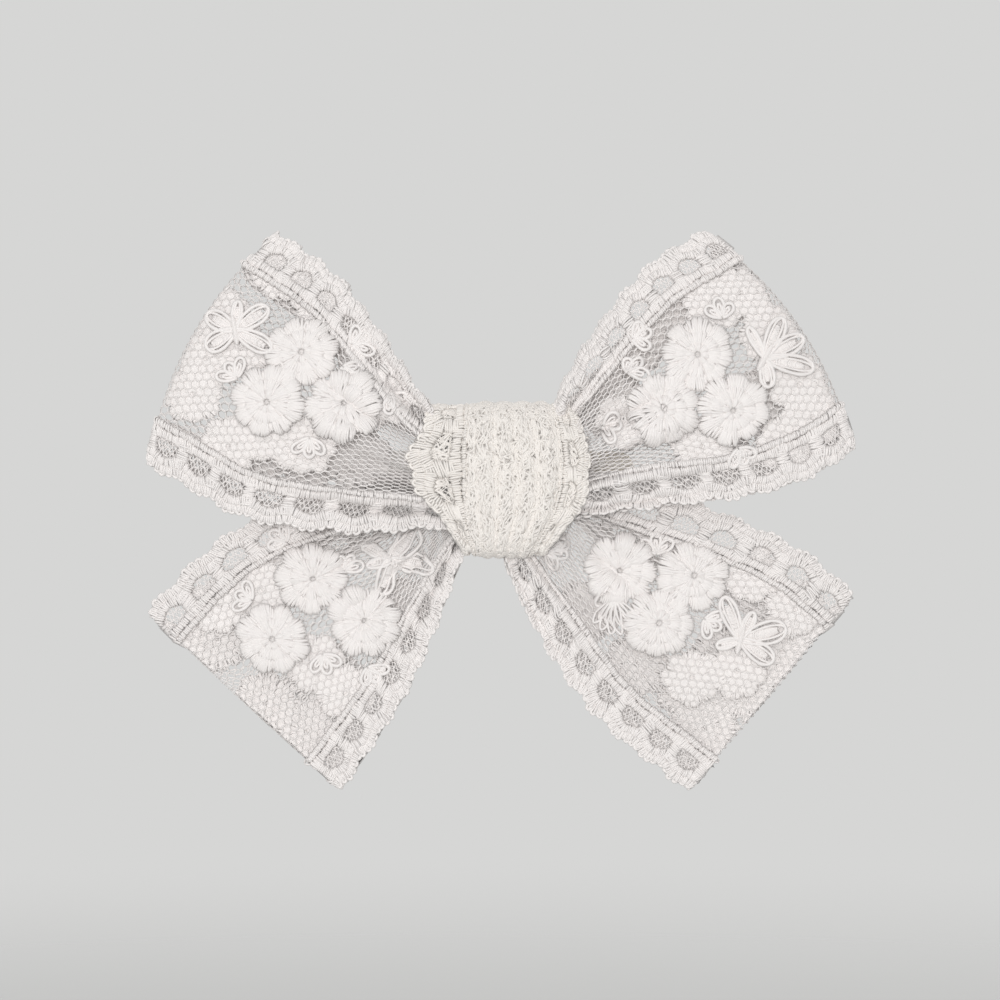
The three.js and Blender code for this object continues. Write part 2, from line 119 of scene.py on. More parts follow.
FLOOR_DROP = 160.0
FLOOR_HALF_M = 3.0
floor_mesh = bpy.data.meshes.new("floor")
floor_corners = [
    (x * FLOOR_HALF_M, y * FLOOR_HALF_M, -FLOOR_DROP * MM) for x, y in ((-1, -1), (1, -1), (1, 1), (-1, 1))
]
floor_mesh.from_pydata(floor_corners, [], [(0, 1, 2, 3)])
floor = bpy.data.objects.new("floor", floor_mesh)
scene.collection.objects.link(floor)

# Matt pale grey paper that fades away far from the bow, so that no horizon shows.
paper, tree = new_material("seamless_paper")
spot = add_node(tree, "ShaderNodeTexCoord")
from_middle = add_node(
    tree, "ShaderNodeVectorMath", dict(operation="LENGTH"), i0=spot.outputs["Object"]
)
fade = add_node(
    tree, "ShaderNodeMapRange", dict(interpolation_type="SMOOTHSTEP"),
    Value=from_middle.outputs["Value"], From_Min=0.25, From_Max=0.8,
)
paper_shader = add_node(tree, "ShaderNodeBsdfPrincipled", Base_Color=SURROUND, Roughness=0.9)
clear = add_node(tree, "ShaderNodeBsdfTransparent")
swept = add_node(
    tree, "ShaderNodeMixShader",
    i0=fade.outputs[0], i1=paper_shader.outputs[0], i2=clear.outputs[0],
)
add_node(tree, "ShaderNodeOutputMaterial", Surface=swept.outputs[0])
floor_mesh.materials.append(paper)


def soft_lamp(name, place, size, power):
    """A square area lamp in watts, at a place in metres, turned to the bow at the origin."""
    data = bpy.data.lights.new(name, "AREA")
    data.size = size
    data.energy = power
    lamp = bpy.data.objects.new(name, data)
    lamp.location = place
    direction = -np.array(place)
    yaw = math.atan2(direction[0], direction[1])
    tilt = math.atan2(math.hypot(direction[0], direction[1]), -direction[2])
    lamp.rotation_euler = (tilt, 0, -yaw)
    scene.collection.objects.link(lamp)


soft_lamp("lens_lamp", (-0.03, -1.0, 0.05), 0.16, 4.7)
soft_lamp("key_lamp", (-0.3, -0.9, 0.5), 0.4, 1.4)
soft_lamp("back_lamp", (0.15, 0.7, 0.6), 0.6, 1.6)


# ---- Net-lace trim --------------------------------------------------------------------------
# The bow's lobes are two rings of white polyester lace trim, 41 mm wide: a hexagonal net with a
# worked ladder border along both edges. Each ring is gathered in the knot and folded at its ends.

TRIM_WIDTH = 41.0
BORDER = 7.0


def smoothstep(low, high, value):
    """0 below low and 1 above high, with a smooth rise between them."""
    t = np.clip((value - low) / (high - low), 0, 1)
    return t * t * (3 - 2 * t)


def smooth_line(points, count=600):
    """Equally spaced points on a smooth line through the given ones."""
    points = np.array(points, float)
    knots = np.r_[0, np.cumsum(np.linalg.norm(np.diff(points, axis=0), axis=1) ** 0.5)]
    slopes = np.gradient(points, knots, axis=0)
    t = np.linspace(0, knots[-1], 4 * count)
    i = np.clip(np.searchsorted(knots, t, side="right") - 1, 0, len(points) - 2)
    step = (knots[i + 1] - knots[i])[:, None]
    u = (t[:, None] - knots[i][:, None]) / step
    line = (
        (2 * u**3 - 3 * u**2 + 1) * points[i]
        + (u**3 - 2 * u**2 + u) * step * slopes[i]
        + (3 * u**2 - 2 * u**3) * points[i + 1]
        + (u**3 - u**2) * step * slopes[i + 1]
    )
    run = np.r_[0, np.cumsum(np.linalg.norm(np.diff(line, axis=0), axis=1))]
    even = np.linspace(0, run[-1], count)
    return np.stack([np.interp(even, run, line[:, k]) for k in range(line.shape[1])], axis=1)


def on_line(line, share):
    """Points at shares 0 to 1 of an equally spaced line."""
    places = np.linspace(0, 1, len(line))
    return np.stack([np.interp(share, places, line[:, k]) for k in range(line.shape[1])], axis=-1)


def box_mm(name):
    """A CAD node's middle and half its size in millimetres, to the nearest micron."""
    low, high = (np.array(corner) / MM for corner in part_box(name))
    return np.round((low + high) / 2, 3), np.round((high - low) / 2, 3)


KNOT_Y = box_mm("knot_wrap")[0][1]

# How far the front and back layers stand off the lobe's middle, how much of that is left at the
# trim's edges, how round the layers are, how far the end bulges, where it lies, and its pleats.
LOOP = dict(
    front=5.0, back=2.2, edge=0.4, roundness=0.75, bulge=4.0,
    fold_y=-11.0, pinch_y=KNOT_Y - 1.55, pleat=0.85,
)
TAIL = dict(
    front=1.6, back=1.6, edge=0.6, roundness=1.0, bulge=0.4,
    fold_y=-6.0, pinch_y=KNOT_Y + 1.55, pleat=0.4,
)

# Each lobe's lower and upper edges run from the knot out to the fold, in x and z. The back layer
# is tucked in a little from both edges, and a shifted border has its rungs between the others'.
LOBES = {
    "left_loop": dict(
        LOOP, side=-1, tuck=(1.0, 2.5), shifted=(False, True),
        lower=[(0, -7.5), (-9, -7.6), (-24, -8.2), (-39.3, -6), (-48.1, -1.3), (-54, 1.8)],
        upper=[(0, 8), (-8.6, 9.4), (-11.8, 13), (-17.9, 22.3), (-25.2, 31.6), (-33.8, 38)],
    ),
    "right_loop": dict(
        LOOP, side=1, tuck=(0.5, 6.5), shifted=(True, False),
        lower=[(0, -7.5), (11, -6), (24, -4.4), (38.4, -2.6), (48.6, 0.7), (54, 4.4)],
        upper=[(0, 8), (6.8, 9.6), (9, 14), (12.4, 20.4), (19.2, 29.6), (23.1, 33.6), (30.6, 38.2)],
    ),
    "left_tail": dict(
        TAIL, side=-1, tuck=(1.0, 7.5), shifted=(True, False),
        lower=[(0, -8), (-4.4, -9.6), (-6.2, -12.8), (-8.8, -20.2), (-13.9, -32.2), (-24.4, -48.2)],
        upper=[(0, 5), (-12, 2.4), (-26, -1.6), (-39.4, -6.4), (-47, -11.8), (-55, -20)],
    ),
    "right_tail": dict(
        TAIL, side=1, tuck=(1.5, 7.5), shifted=(True, False),
        lower=[(0, -8), (0.6, -12.4), (2, -16.5), (5.3, -23.8), (14, -36.2), (28.6, -48.4)],
        upper=[(0, 5), (12, 2.4), (23, -0.6), (36.2, -5.6), (47.5, -11.1), (54.8, -17.3)],
    ),
}
PLEATS = 4.3


def lobe_surface(lobe):
    """Turns a flat place on the trim, along from the knot and across from the lower edge, into its
    place in the bow, in millimetres. It also gives the length out to the fold and back."""
    lower, upper = smooth_line(lobe["lower"]), smooth_line(lobe["upper"])
    chord = upper[-1] - lower[-1]
    outward = np.array([chord[1], -chord[0]]) / np.linalg.norm(chord)
    outward *= np.sign(outward[0] * lobe["side"])

    def shaped(turn, share):
        along, facing = np.sin(np.pi * turn), np.cos(np.pi * turn)
        low, high = on_line(lower, along), on_line(upper, along)
        behind = smoothstep(0.0, 0.35, -facing) * smoothstep(0.1, 0.4, along)
        taken = [behind * tuck / TRIM_WIDTH for tuck in lobe["tuck"]]
        kept = taken[0] + share * (1 - taken[0] - taken[1])
        plan = low + (high - low) * kept[..., None]
        plan = plan + outward * (lobe["bulge"] * 4 * share * (1 - share) * along**3)[..., None]
        opened = smoothstep(0.1, 0.5, along)
        crown = lobe["edge"] + (1 - lobe["edge"]) * np.sin(np.pi * np.clip(share, 0, 1))
        depth = np.where(facing > 0, lobe["front"], lobe["back"])
        spread = 0.5 * (1 - opened) + depth * np.abs(facing) ** lobe["roundness"] * opened * crown
        y = lobe["pinch_y"] + (lobe["fold_y"] - lobe["pinch_y"]) * smoothstep(0.05, 0.35, along)
        y = y - np.sign(facing) * spread
        fade = (1 - smoothstep(0.25, 0.85, along)) * np.where(facing > 0, 1, 0.5)
        swell = 0.4 + lobe["pleat"] * smoothstep(0.08, 0.25, along)
        fine_folds = 0.35 * np.cos(2 * np.pi * 2.4 * PLEATS * share)
        folds = np.cos(2 * np.pi * PLEATS * share + lobe["side"]) + fine_folds
        y = y - fade * swell * folds
        return np.stack([plan[..., 0], y, plan[..., 1]], axis=-1)

    turns = np.linspace(0, 1, 2001)
    middle = shaped(turns, np.full_like(turns, 0.5))
    run = np.r_[0, np.cumsum(np.linalg.norm(np.diff(middle, axis=0), axis=1))]

    def surface(along, across):
        turn = np.interp(along, run, turns)
        gathered = 1 - smoothstep(0.15, 0.8, np.sin(np.pi * turn))
        flat_share = across / TRIM_WIDTH
        kept = np.interp(across, [0, BORDER, TRIM_WIDTH - BORDER, TRIM_WIDTH], [0, 0.28, 0.72, 1])
        beyond = (np.minimum(across, 0) + np.maximum(across - TRIM_WIDTH, 0)) / TRIM_WIDTH
        return shaped(turn, flat_share + (kept + beyond - flat_share) * gathered)

    return surface, run[-1]


def off_surface(surface, along, across, height, side):
    """Places a height off the trim's outer face, and the directions off it."""
    step = 0.02
    here = surface(along, across)
    run = surface(along + step, across) - surface(along - step, across)
    rise = surface(along, across + step) - surface(along, across - step)
    up = np.cross(run, rise) * side
    up /= np.maximum(np.linalg.norm(up, axis=-1, keepdims=True), 1e-12)
    return here + up * np.asarray(height)[..., None], up


ROUND_4 = np.array([(math.cos(a), math.sin(a)) for a in np.arange(4) * math.pi / 2])
ROUND_6 = np.array([(math.cos(a), math.sin(a)) for a in np.arange(6) * math.pi / 3])


def sweep(paths, ups, half_width, half_height, section=ROUND_4):
    """Closed threads along many paths at once, given as arrays of thread, point and xyz. It gives
    corners and four-sided faces."""
    paths, ups = np.atleast_3d(paths), np.atleast_3d(ups)
    ahead = np.gradient(paths, axis=1)
    ahead /= np.maximum(np.linalg.norm(ahead, axis=-1, keepdims=True), 1e-12)
    sides = np.cross(ups, ahead)
    sides /= np.maximum(np.linalg.norm(sides, axis=-1, keepdims=True), 1e-12)
    ups = np.cross(ahead, sides)
    threads, stations = paths.shape[:2]
    width = np.broadcast_to(half_width, (threads, stations))[..., None, None]
    height = np.broadcast_to(half_height, (threads, stations))[..., None, None]
    count = len(section)
    ring = (
        paths[:, :, None]
        + sides[:, :, None] * width * section[None, None, :, :1]
        + ups[:, :, None] * height * section[None, None, :, 1:]
    )
    corner = np.arange(threads * stations * count).reshape(threads, stations, count)
    here, next_on = corner[:, :-1], corner[:, 1:]
    walls = np.stack([here, np.roll(here, -1, 2), np.roll(next_on, -1, 2), next_on], axis=-1)
    caps = []
    for i in range(1, count - 2, 2):
        caps.append(corner[:, -1][:, [0, i, i + 1, i + 2]])
        caps.append(corner[:, 0][:, [i + 2, i + 1, i, 0]])
    return ring.reshape(-1, 3), np.concatenate([walls.reshape(-1, 4), *caps])


def add_piece(name, parts, material):
    """One mesh object made of swept parts given in millimetres."""
    points, faces = join(parts)
    points = points * MM
    mesh = bpy.data.meshes.new(name)
    mesh.vertices.add(len(points))
    mesh.vertices.foreach_set("co", points.astype(np.float32).ravel())
    mesh.loops.add(faces.size)
    mesh.loops.foreach_set("vertex_index", faces.astype(np.int32).ravel())
    mesh.polygons.add(len(faces))
    mesh.polygons.foreach_set("loop_start", np.arange(0, faces.size, 4, dtype=np.int32))
    mesh.polygons.foreach_set("use_smooth", np.ones(len(faces), bool))
    mesh.update(calc_edges=True)
    mesh.validate()
    mesh.materials.append(material)
    piece = bpy.data.objects.new(name, mesh)
    scene.collection.objects.link(piece)
    return piece


def join(parts):
    """Swept parts put together as one."""
    offsets = np.cumsum([0] + [len(corners) for corners, _ in parts])
    faces = [faces + offset for (_, faces), offset in zip(parts, offsets)]
    return np.concatenate([corners for corners, _ in parts]), np.concatenate(faces)


STITCH_PITCH = 0.29
STITCH_HALF_WIDTH = STITCH_PITCH * 0.72
STITCH_HALF_HEIGHT = 0.13
STITCH_LIFT = 0.05


def stitched_band(surface, side, along, across, half_width, height, rng):
    """Satin stitch: separate threads laid side by side over padding, across a line that is given
    by dense places on the trim."""
    length = np.r_[0, np.cumsum(np.hypot(np.diff(along), np.diff(across)))]
    stations = np.arange(STITCH_PITCH / 2, length[-1], STITCH_PITCH)
    stations = stations + rng.normal(0, STITCH_PITCH * 0.12, len(stations))
    a, b = np.interp(stations, length, along), np.interp(stations, length, across)
    over_a = -np.interp(stations, length, np.gradient(across, length))
    over_b = np.interp(stations, length, np.gradient(along, length))
    wide = np.interp(stations, length, np.broadcast_to(half_width, along.shape))
    wide = (wide * (1 + rng.normal(0, 0.09, len(stations))))[:, None]
    share = np.linspace(-1, 1, 6)[None]
    slant = rng.normal(0.12, 0.08, (len(stations), 1))
    place, up = off_surface(
        surface,
        a[:, None] + (over_a[:, None] + slant * over_b[:, None]) * wide * share,
        b[:, None] + (over_b[:, None] - slant * over_a[:, None]) * wide * share,
        STITCH_LIFT + height * (1 - share**4) * (1 + rng.normal(0, 0.2, (len(stations), 1))),
        side,
    )
    stitches = sweep(place, up, STITCH_HALF_WIDTH, STITCH_HALF_HEIGHT)
    stations = np.arange(0, length[-1], 1.0)
    a, b = np.interp(stations, length, along), np.interp(stations, length, across)
    wide = np.interp(stations, length, np.broadcast_to(half_width, along.shape))
    place, up = off_surface(surface, a, b, STITCH_LIFT, side)
    padding = sweep(place[None], up[None], 0.9 * wide, 0.12)
    return join([stitches, padding])


NET_CELL = 1.3
NET_THREAD = 0.17


def net_threads(surface, side, length):
    """Hexagonal bobbin net: zigzag threads that run along the trim and twist round their neighbours."""
    half = NET_CELL / 2
    link = NET_CELL / math.sqrt(3)
    rows = int((TRIM_WIDTH - 1.6) / half)
    along = np.arange(0, length, link * 0.75)
    phase = np.arange(len(along)) // 2
    along = along + np.where(np.arange(len(along)) % 2, 0.125, -0.125) * link
    row = np.arange(rows)[:, None]
    swing = np.where((phase[None] + row) % 2, 0.5, -0.5) * (half - NET_THREAD * 0.8)
    across = 1.0 + half * (row + 0.5) + swing
    along = np.broadcast_to(along, across.shape)
    place, up = off_surface(surface, along, across, 0.0, side)
    return sweep(place, up, NET_THREAD / 2, NET_THREAD / 2)


EYELET_PITCH = 5.9
EYELET_MESH = 0.65
EYELET_THREADS = 7
PICOT_PITCH = 1.2
RIB_PITCH = 1.3


def ladder_border(surface, side, length, upper_edge, shifted, rng):
    """A border worked along one edge: a scalloped satin rail with picots, rungs round eyelets that
    are filled with fine slanted threads, and a beaded rib. The rungs fall on those of the layer
    behind, or halfway between them."""
    def across(distance):
        return TRIM_WIDTH - distance if upper_edge else distance

    def band(distance, half_width, height):
        return stitched_band(surface, side, along, across(distance), half_width, height, rng)

    pitch = length / (round(length / EYELET_PITCH) + (0.5 if shifted else 0))
    along = np.arange(0, length, 0.2)
    at_rung = 0.5 + 0.5 * np.cos(2 * np.pi * along / pitch)
    scallop = 0.5 + 0.5 * np.cos(2 * np.pi * along / pitch + 0.6 * np.sin(along / 17))
    outer = 1.4 + 0.7 * scallop
    bead = np.abs(np.sin(np.pi * along / RIB_PITCH)) ** 0.5
    parts = [
        band(outer - 0.5, 0.72, 0.34),
        band(outer + 0.55 + 0.2 * at_rung, 0.7 + 0.25 * at_rung**2, 0.42),
        band(np.full(along.shape, 5.75), 0.62 + 0.4 * at_rung**2, 0.34),
        band(6.9 + 0.1 * scallop, 0.3 + 0.22 * bead, 0.5),
    ]
    for middle in np.arange(pitch, length - 1, pitch):
        for slope in (-0.5, 0.5):
            row = middle - pitch / 2 + np.arange(-3, 4)[:, None] * EYELET_MESH
            row = row + rng.normal(0, 0.04, (EYELET_THREADS, 1))
            over = np.broadcast_to(np.linspace(2.0, 5.6, 4), (EYELET_THREADS, 4))
            row = row + slope * (over - 3.8)
            place, up = off_surface(surface, row, across(over), -STITCH_LIFT, side)
            parts.append(sweep(place, up, 0.08, 0.08))
        rung = np.linspace(2.2, 5.6, 20)
        lean = rng.normal(0, 0.12)
        half_width = 1.1 + rng.normal(0, 0.08)
        leaning = middle + lean * (rung - 3.9) / 2
        parts.append(stitched_band(surface, side, leaning, across(rung), half_width, 0.38, rng))
    turn = np.linspace(-0.15, math.pi + 0.15, 6)[None]
    foot = np.arange(PICOT_PITCH / 2, length - PICOT_PITCH, PICOT_PITCH)[:, None]
    foot = foot + rng.normal(0, 0.08, foot.shape)
    edge = np.interp(foot, along, outer) - 0.95
    reach = 0.42 * (1 + rng.normal(0, 0.2, foot.shape))
    looped = across(edge - reach * np.sin(turn))
    place, up = off_surface(surface, foot + 0.4 * np.cos(turn), looped, 0.12, side)
    parts.append(sweep(place, up, 0.25, 0.22, ROUND_6))
    return parts


def thread_material(name, darker, lighter):
    """Spun polyester thread: matt, with a faint fuzz that catches light at its edges."""
    material, tree = new_material(name)
    spot = add_node(tree, "ShaderNodeTexCoord")
    tint = add_node(tree, "ShaderNodeTexNoise", Vector=spot.outputs["Object"], Scale=240.0, Detail=3.0)
    shade = add_node(
        tree, "ShaderNodeMix", dict(data_type="RGBA"),
        Factor=tint.outputs["Fac"], i6=hex_colour(darker), i7=hex_colour(lighter),
    )
    fibre = add_node(
        tree, "ShaderNodeBsdfPrincipled", Base_Color=shade.outputs[2], Roughness=0.55,
        Sheen_Weight=0.2, Sheen_Roughness=0.4,
    )
    add_node(tree, "ShaderNodeOutputMaterial", Surface=fibre.outputs[0])
    return material


# White thread with a little warmth in it, slightly mottled.
thread_white = thread_material("embroidery_thread", "#ece8e6", "#f4efed")

rng = np.random.default_rng(5)
surfaces = {}
for name, lobe in LOBES.items():
    surface, length = lobe_surface(lobe)
    surfaces[name] = surface, length
    side = lobe["side"]
    parts = [net_threads(surface, side, length)]
    parts += ladder_border(surface, side, length, False, lobe["shifted"][0], rng)
    parts += ladder_border(surface, side, length, True, lobe["shifted"][1], rng)
    trim = add_piece(f"trim_{name}", parts, thread_white)
    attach(trim, "bow")
    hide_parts("upper_loops" if name.endswith("loop") else "lower_tails")


# ---- Raised daisies -------------------------------------------------------------------------
# Three daisies overlap in a cluster on each lobe, and more show dimly on the layers behind. Each
# is dense radial satin stitch over padding, so that its eight petals stand a millimetre proud.

def find_place(surface, x, z, along, across):
    """Where the trim passes places given in x and z. Short steps start from a flat place near them
    and follow the trim's slope."""
    along = np.full(np.shape(x), float(along))
    across = np.full(np.shape(x), float(across))
    step, longest, least_area = 0.01, 4, 0.05
    for _ in range(25):
        here = surface(along, across)
        run = (surface(along + step, across) - here) / step
        rise = (surface(along, across + step) - here) / step
        miss_x, miss_z = x - here[..., 0], z - here[..., 2]
        area = run[..., 0] * rise[..., 2] - run[..., 2] * rise[..., 0]
        area = np.where(np.abs(area) < least_area, least_area * np.sign(area + 1e-9), area)
        move_along = (miss_x * rise[..., 2] - miss_z * rise[..., 0]) / area
        move_across = (run[..., 0] * miss_z - run[..., 2] * miss_x) / area
        along = along + np.clip(move_along, -longest, longest)
        across = across + np.clip(move_across, -longest, longest)
    return along, across


def on_lobe(name, x, z, height, behind=False):
    """Places a height off the front layer of a lobe, or off its back layer, over places in x and z.
    The front layer is the first half of the trim's length, and the back layer is the second."""
    surface, length = surfaces[name]
    start = length * (0.68 if behind else 0.32)
    along, across = find_place(surface, x, z, start, TRIM_WIDTH / 2)
    limit = length * 0.497
    along = np.maximum(along, length - limit) if behind else np.minimum(along, limit)
    across = np.clip(across, -0.5, TRIM_WIDTH + 0.5)
    return off_surface(surface, along, across, height, LOBES[name]["side"])


PETALS = 8
PADDING = 16
PADDING_RADIUS = 4.55

# Rings of stitches from the petals' tips to the eye: the number in each petal, the radii they run
# between, and the heights they start at and rise by.
RINGS = [
    dict(stitches=24, start=2.7, end=5.7, base=0.1, arch=0.85),
    dict(stitches=12, start=1.5, end=3.9, base=0.5, arch=0.5),
    dict(stitches=8, start=0.45, end=2.1, base=0.4, arch=0.6),
]


def daisy_stitches(rng, size=1.0):
    """Radial stitches of one daisy about its middle: places in a plane, and heights off the cloth."""
    first = rng.uniform(0, 1)
    squash = rng.uniform(0.9, 1.0)
    share = np.linspace(0, 1, 7)
    row = np.linspace(-4.3, 4.3, PADDING)[:, None]
    lean = rng.uniform(0, np.pi)
    pad_u = np.sqrt(PADDING_RADIUS**2 - row**2) * np.linspace(-1, 1, 7)
    pad_v = np.broadcast_to(row, pad_u.shape)
    across_plane = [size * (pad_u * np.cos(lean) - pad_v * np.sin(lean))]
    up_plane = [size * squash * (pad_u * np.sin(lean) + pad_v * np.cos(lean))]
    heights = [np.full(pad_u.shape, 0.22)]
    for ring in RINGS:
        count = PETALS * ring["stitches"]
        number = np.arange(count)
        turn = first + (number + rng.uniform(-0.25, 0.25, count)) / count * 2 * np.pi
        in_petal = ((number + 0.5) / ring["stitches"] % 1) * 2 - 1
        petal = rng.uniform(0.93, 1.05, PETALS)[number // ring["stitches"]]
        end = ring["end"] * petal * (1 - 0.2 * np.abs(in_petal) ** 3 + rng.normal(0, 0.012, count))
        start = ring["start"] * (1 + rng.normal(0, 0.08, count))
        reach = start[:, None] + (end - start)[:, None] * share
        dome = 1 - 0.6 * in_petal[:, None] ** 2
        height = ring["base"] + ring["arch"] * dome * np.sin(np.pi * (0.08 + 0.88 * share)) ** 0.6
        height = height * (1 + rng.normal(0, 0.045, (count, 1)))
        bend = turn[:, None] + rng.normal(0, 0.035, (count, 1)) * share
        across_plane.append(size * reach * np.cos(bend))
        up_plane.append(size * squash * reach * np.sin(bend))
        heights.append(height)
    return np.concatenate(across_plane), np.concatenate(up_plane), np.concatenate(heights)


STITCHES = PETALS * sum(ring["stitches"] for ring in RINGS)
DAISY_HALF_WIDTHS = np.repeat([0.38, 0.2], [PADDING, STITCHES])[:, None]
DAISY_CENTRES = {
    "left_loop": [(-30.2, 19.3), (-24.0, 11.2), (-35.3, 11.8)],
    "right_loop": [(29.7, 18.9), (24.6, 10.6), (35.0, 10.6)],
    "left_tail": [(-29.1, -15.1), (-21.1, -21.7), (-35.2, -24.5)],
    "right_tail": [(18.5, -13.7), (29.6, -14.9), (24.3, -22.0)],
}
embroidery = {name: [] for name in LOBES}
for name, centres in DAISY_CENTRES.items():
    for number, (x, z) in enumerate(centres, 1):
        across_plane, up_plane, height = daisy_stitches(rng)
        lift = 0.12 * number
        places, ups = on_lobe(name, x + across_plane, z + up_plane, height + lift)
        stitches = sweep(places, ups, DAISY_HALF_WIDTHS, 0.15, ROUND_6)
        daisy = add_piece(f"stitched_daisy_{name}_{number}", [stitches], thread_white)
        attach(daisy, "bow")
        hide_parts(f"daisy_{name}_{number}")
        embroidery[name].append(daisy)

# Daisies on the lobe's back layer, seen through the net in front of them.
BACK_DAISIES = {
    "left_loop": [
        (-32.0, 31.5), (-37.5, 5.0), (-25.5, 26.5), (-19.5, 18.0),
        (-22.0, 3.5), (-29.5, 3.5), (-14.0, 12.0),
    ],
    "right_loop": [
        (34.5, 29.0), (20.5, 21.5), (28.0, 27.0), (44.0, 8.5),
        (17.5, 11.0), (33.0, 4.0), (40.5, 12.0),
    ],
    "left_tail": [
        (-36.5, -17.3), (-27.5, -30.5), (-20.0, -33.5), (-44.0, -24.5), (-30.0, -39.0),
        (-14.5, -20.5), (-22.0, -42.0), (-25.0, -37.0), (-36.5, -34.5),
    ],
    "right_tail": [
        (29.6, -33.0), (21.0, -28.5), (37.8, -32.5), (44.5, -19.5), (37.0, -14.0),
        (13.0, -20.5), (34.5, -27.5), (43.5, -26.5), (31.5, -38.5),
    ],
}

# Daisies on the crushed inner folds, pressed flat close behind the front net.
FLAT_DAISIES = {
    "left_loop": [
        (-45.0, 18.5), (-41.5, 5.0), (-33.5, 32.0), (-47.0, 13.0), (-43.0, 25.0),
        (-17.5, 12.5), (-30.0, 5.0), (-27.0, 27.0), (-36.0, 7.0), (-39.5, 20.0),
    ],
    "right_loop": [
        (45.5, 14.5), (36.5, 28.5), (43.5, 5.5), (32.5, 27.0),
        (47.5, 9.5), (41.0, 22.5), (30.5, 5.0), (19.0, 8.5),
    ],
    "left_tail": [(-43.5, -19.5), (-28.5, -28.5), (-37.0, -17.0), (-24.0, -33.0)],
    "right_tail": [(45.5, -20.0), (36.5, -29.5), (38.5, -14.5), (29.5, -30.5)],
}
for name, centres in BACK_DAISIES.items():
    parts = []
    for x, z in centres:
        across_plane, up_plane, height = daisy_stitches(rng, 0.95)
        places, ups = on_lobe(name, x + across_plane, z + up_plane, height, behind=True)
        parts.append(sweep(places, ups, DAISY_HALF_WIDTHS, 0.15))
        every_other = slice(PADDING, None, 2)
        across_plane, up_plane = across_plane[every_other], up_plane[every_other]
        places, ups = on_lobe(name, x + across_plane, z + up_plane, 0.0, behind=True)
        parts.append(sweep(places, ups, 0.22, 0.08))
    for x, z in FLAT_DAISIES[name]:
        across_plane, up_plane, height = daisy_stitches(rng, 0.85)
        places, ups = on_lobe(name, x + across_plane, z + up_plane, 0.3 * height - 0.5)
        parts.append(sweep(places, ups, DAISY_HALF_WIDTHS, 0.13))
    daisies = add_piece(f"back_daisies_{name}", parts, thread_white)
    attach(daisies, "bow")
    embroidery[name].append(daisies)


# ---- Butterflies, leaves and bell flower ----------------------------------------------------
# Each lobe carries a butterfly outlined in thick looped cord round wings filled with satin stitch.
# Small looped leaves fill the gaps, and one lobe has a bell flower of loose loops under a cap.

def turned(u, v, middle, degrees):
    """Places drawn along and beside an axis, turned by an angle and moved to a middle."""
    c, s = math.cos(math.radians(degrees)), math.sin(math.radians(degrees))
    return middle[0] + u * c - v * s, middle[1] + u * s + v * c


def cord_on(name, x, z, half_width, lift, behind=False):
    """A thick looped thread laid along a line on a lobe, slightly lumpy where it is caught down."""
    place, up = on_lobe(name, x, z, np.full(x.shape, float(lift)), behind)
    lumps = half_width * (1 + 0.13 * np.cos(np.arange(len(x)) * 1.9))
    return sweep(place[None], up[None], lumps, lumps, ROUND_6)


def teardrop(length, width, count=26):
    """A closed loop from the root of a wing or petal, as places along and beside its axis."""
    t = np.linspace(0.05, 1.95, count) * np.pi
    u = length * (1 - np.cos(t)) / 2
    return u, width / 2 * np.sin(t) * (0.55 + 0.6 * (1 - np.cos(t)) / 2)


WING_LIFT = 0.7


def wing(name, middle, degrees, length, width, rng):
    """A wing: an outer cord, a finer one inside it, and satin stitches laid over its middle."""
    u, v = teardrop(length, width)
    parts = [cord_on(name, *turned(u, v, middle, degrees), 0.3, WING_LIFT)]
    u, v = teardrop(length * 0.97, width * 0.55)
    parts.append(cord_on(name, *turned(u + 0.1, v, middle, degrees), 0.2, WING_LIFT - 0.05))
    stations = np.arange(0.12 * length, 0.8 * length, 0.22)[:, None]
    half = width * 0.27 * np.sin(np.pi * np.clip(stations / length / 0.9, 0, 1)) ** 0.7
    share = np.linspace(-1, 1, 5)[None]
    x, z = turned(stations + 0.5 * half * np.abs(share), half * share, middle, degrees)
    place, up = on_lobe(name, x, z, 0.3 + 0.35 * (1 - share**2) + rng.normal(0, 0.05, stations.shape))
    parts.append(sweep(place, up, 0.19, 0.15))
    return parts


def padded_bar(name, middle, degrees, length, width, rng, lift=0.45):
    """A short satin bar: a butterfly's body, or the cap of a flower."""
    stations = np.arange(-length / 2, length / 2, 0.26)[:, None]
    half = width / 2 * (1 - (stations / (length / 2 + 0.2)) ** 4)
    half = half * (1 + rng.normal(0, 0.06, stations.shape))
    share = np.linspace(-1, 1, 6)[None]
    x, z = turned(stations, half * share, middle, degrees)
    place, up = on_lobe(name, x, z, lift + 0.65 * (1 - share**2))
    return [sweep(place, up, 0.17, 0.15, ROUND_6)]


# Each butterfly's middle, its body's angle, and its wings' angles, lengths and widths.
BUTTERFLIES = {
    "left_loop": dict(
        middle=(-40.3, 22.6), body=100,
        wings=[(35, 6.0, 3.0), (-28, 6.2, 3.0), (150, 4.8, 3.0), (212, 5.0, 3.2), (84, 4.4, 1.6)],
    ),
    "right_loop": dict(
        middle=(39.9, 18.4), body=60,
        wings=[(-12, 7.6, 3.0), (28, 6.6, 3.0), (66, 6.6, 2.8), (-82, 4.4, 2.4), (118, 5.2, 1.5)],
    ),
    "left_tail": dict(
        middle=(-17.0, -12.4), body=-40,
        wings=[(50, 6.9, 3.0), (-8, 6.3, 3.4), (-107, 5.4, 3.2), (152, 5.2, 1.7), (196, 3.6, 1.6)],
    ),
    "right_tail": dict(
        middle=(36.9, -24.6), body=75,
        wings=[(112, 7.0, 2.8), (14, 7.2, 3.8), (-34, 6.0, 3.2), (64, 4.6, 1.8), (196, 3.8, 1.6)],
    ),
}
